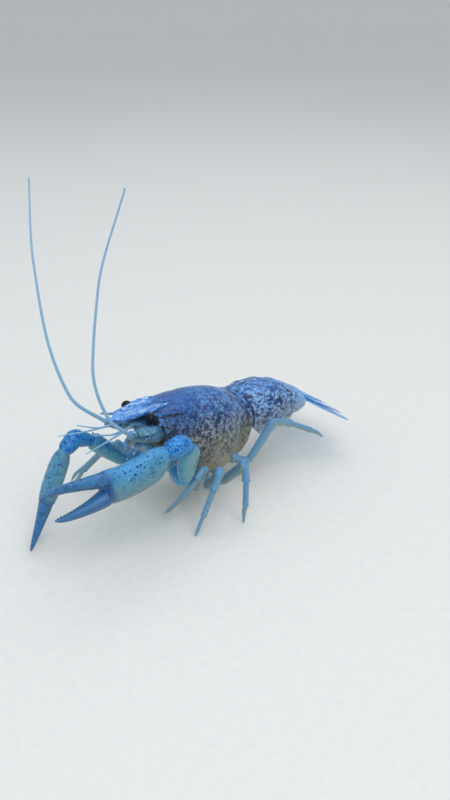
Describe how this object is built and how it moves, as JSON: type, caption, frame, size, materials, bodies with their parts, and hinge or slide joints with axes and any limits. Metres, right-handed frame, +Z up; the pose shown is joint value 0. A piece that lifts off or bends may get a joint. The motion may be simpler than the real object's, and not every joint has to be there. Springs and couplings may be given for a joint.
{
  "type": "blue crayfish",
  "caption": "Blue freshwater crayfish as a still, life-size display model, walking with its claws held forward and its tail half stretched out.",
  "frame": {"origin": "on the floor, at the middle of the box around the whole animal", "axes": "+X forward, from the tail fan to the head; +Y to the animal's left; +Z up"},
  "size_m": [0.1121, 0.0526, 0.0981],
  "materials": {
    "shell": "satin",
    "tail": "satin",
    "limb": "satin",
    "claw": "satin",
    "finger": "polished",
    "eye": "polished",
    "feeler": "satin"
  },
  "bodies": {
    "root": {"thorax": "shell", "head": "shell", "abdomen_1": "tail", "abdomen_2": "tail", "abdomen_3": "tail", "abdomen_4": "tail", "abdomen_5": "tail", "abdomen_6": "tail", "telson": "tail", "uropod_inner_left": "tail", "uropod_inner_right": "tail", "uropod_outer_left": "tail", "uropod_outer_right": "tail", "leg_2_left_upper": "limb", "leg_2_left_lower": "limb", "leg_3_left_upper": "limb", "leg_3_left_lower": "limb", "leg_4_left_upper": "limb", "leg_4_left_lower": "limb", "leg_5_left_upper": "limb", "leg_5_left_lower": "limb", "cheliped_left_arm": "claw", "cheliped_left_wrist": "claw", "cheliped_left_palm": "claw", "cheliped_left_finger": "finger", "eye_stalk_left": "shell", "eye_left": "eye", "antenna_base_left": "limb", "antenna_left": "feeler", "antennule_left": "feeler", "antennal_scale_left": "limb", "maxilliped_left": "limb", "leg_2_right_upper": "limb", "leg_2_right_lower": "limb", "leg_3_right_upper": "limb", "leg_3_right_lower": "limb", "leg_4_right_upper": "limb", "leg_4_right_lower": "limb", "leg_5_right_upper": "limb", "leg_5_right_lower": "limb", "cheliped_right_arm": "claw", "cheliped_right_wrist": "claw", "cheliped_right_palm": "claw", "cheliped_right_finger": "finger", "eye_stalk_right": "shell", "eye_right": "eye", "antenna_base_right": "limb", "antenna_right": "feeler", "antennule_right": "feeler", "antennal_scale_right": "limb", "maxilliped_right": "limb"}
  },
  "joints": []
}
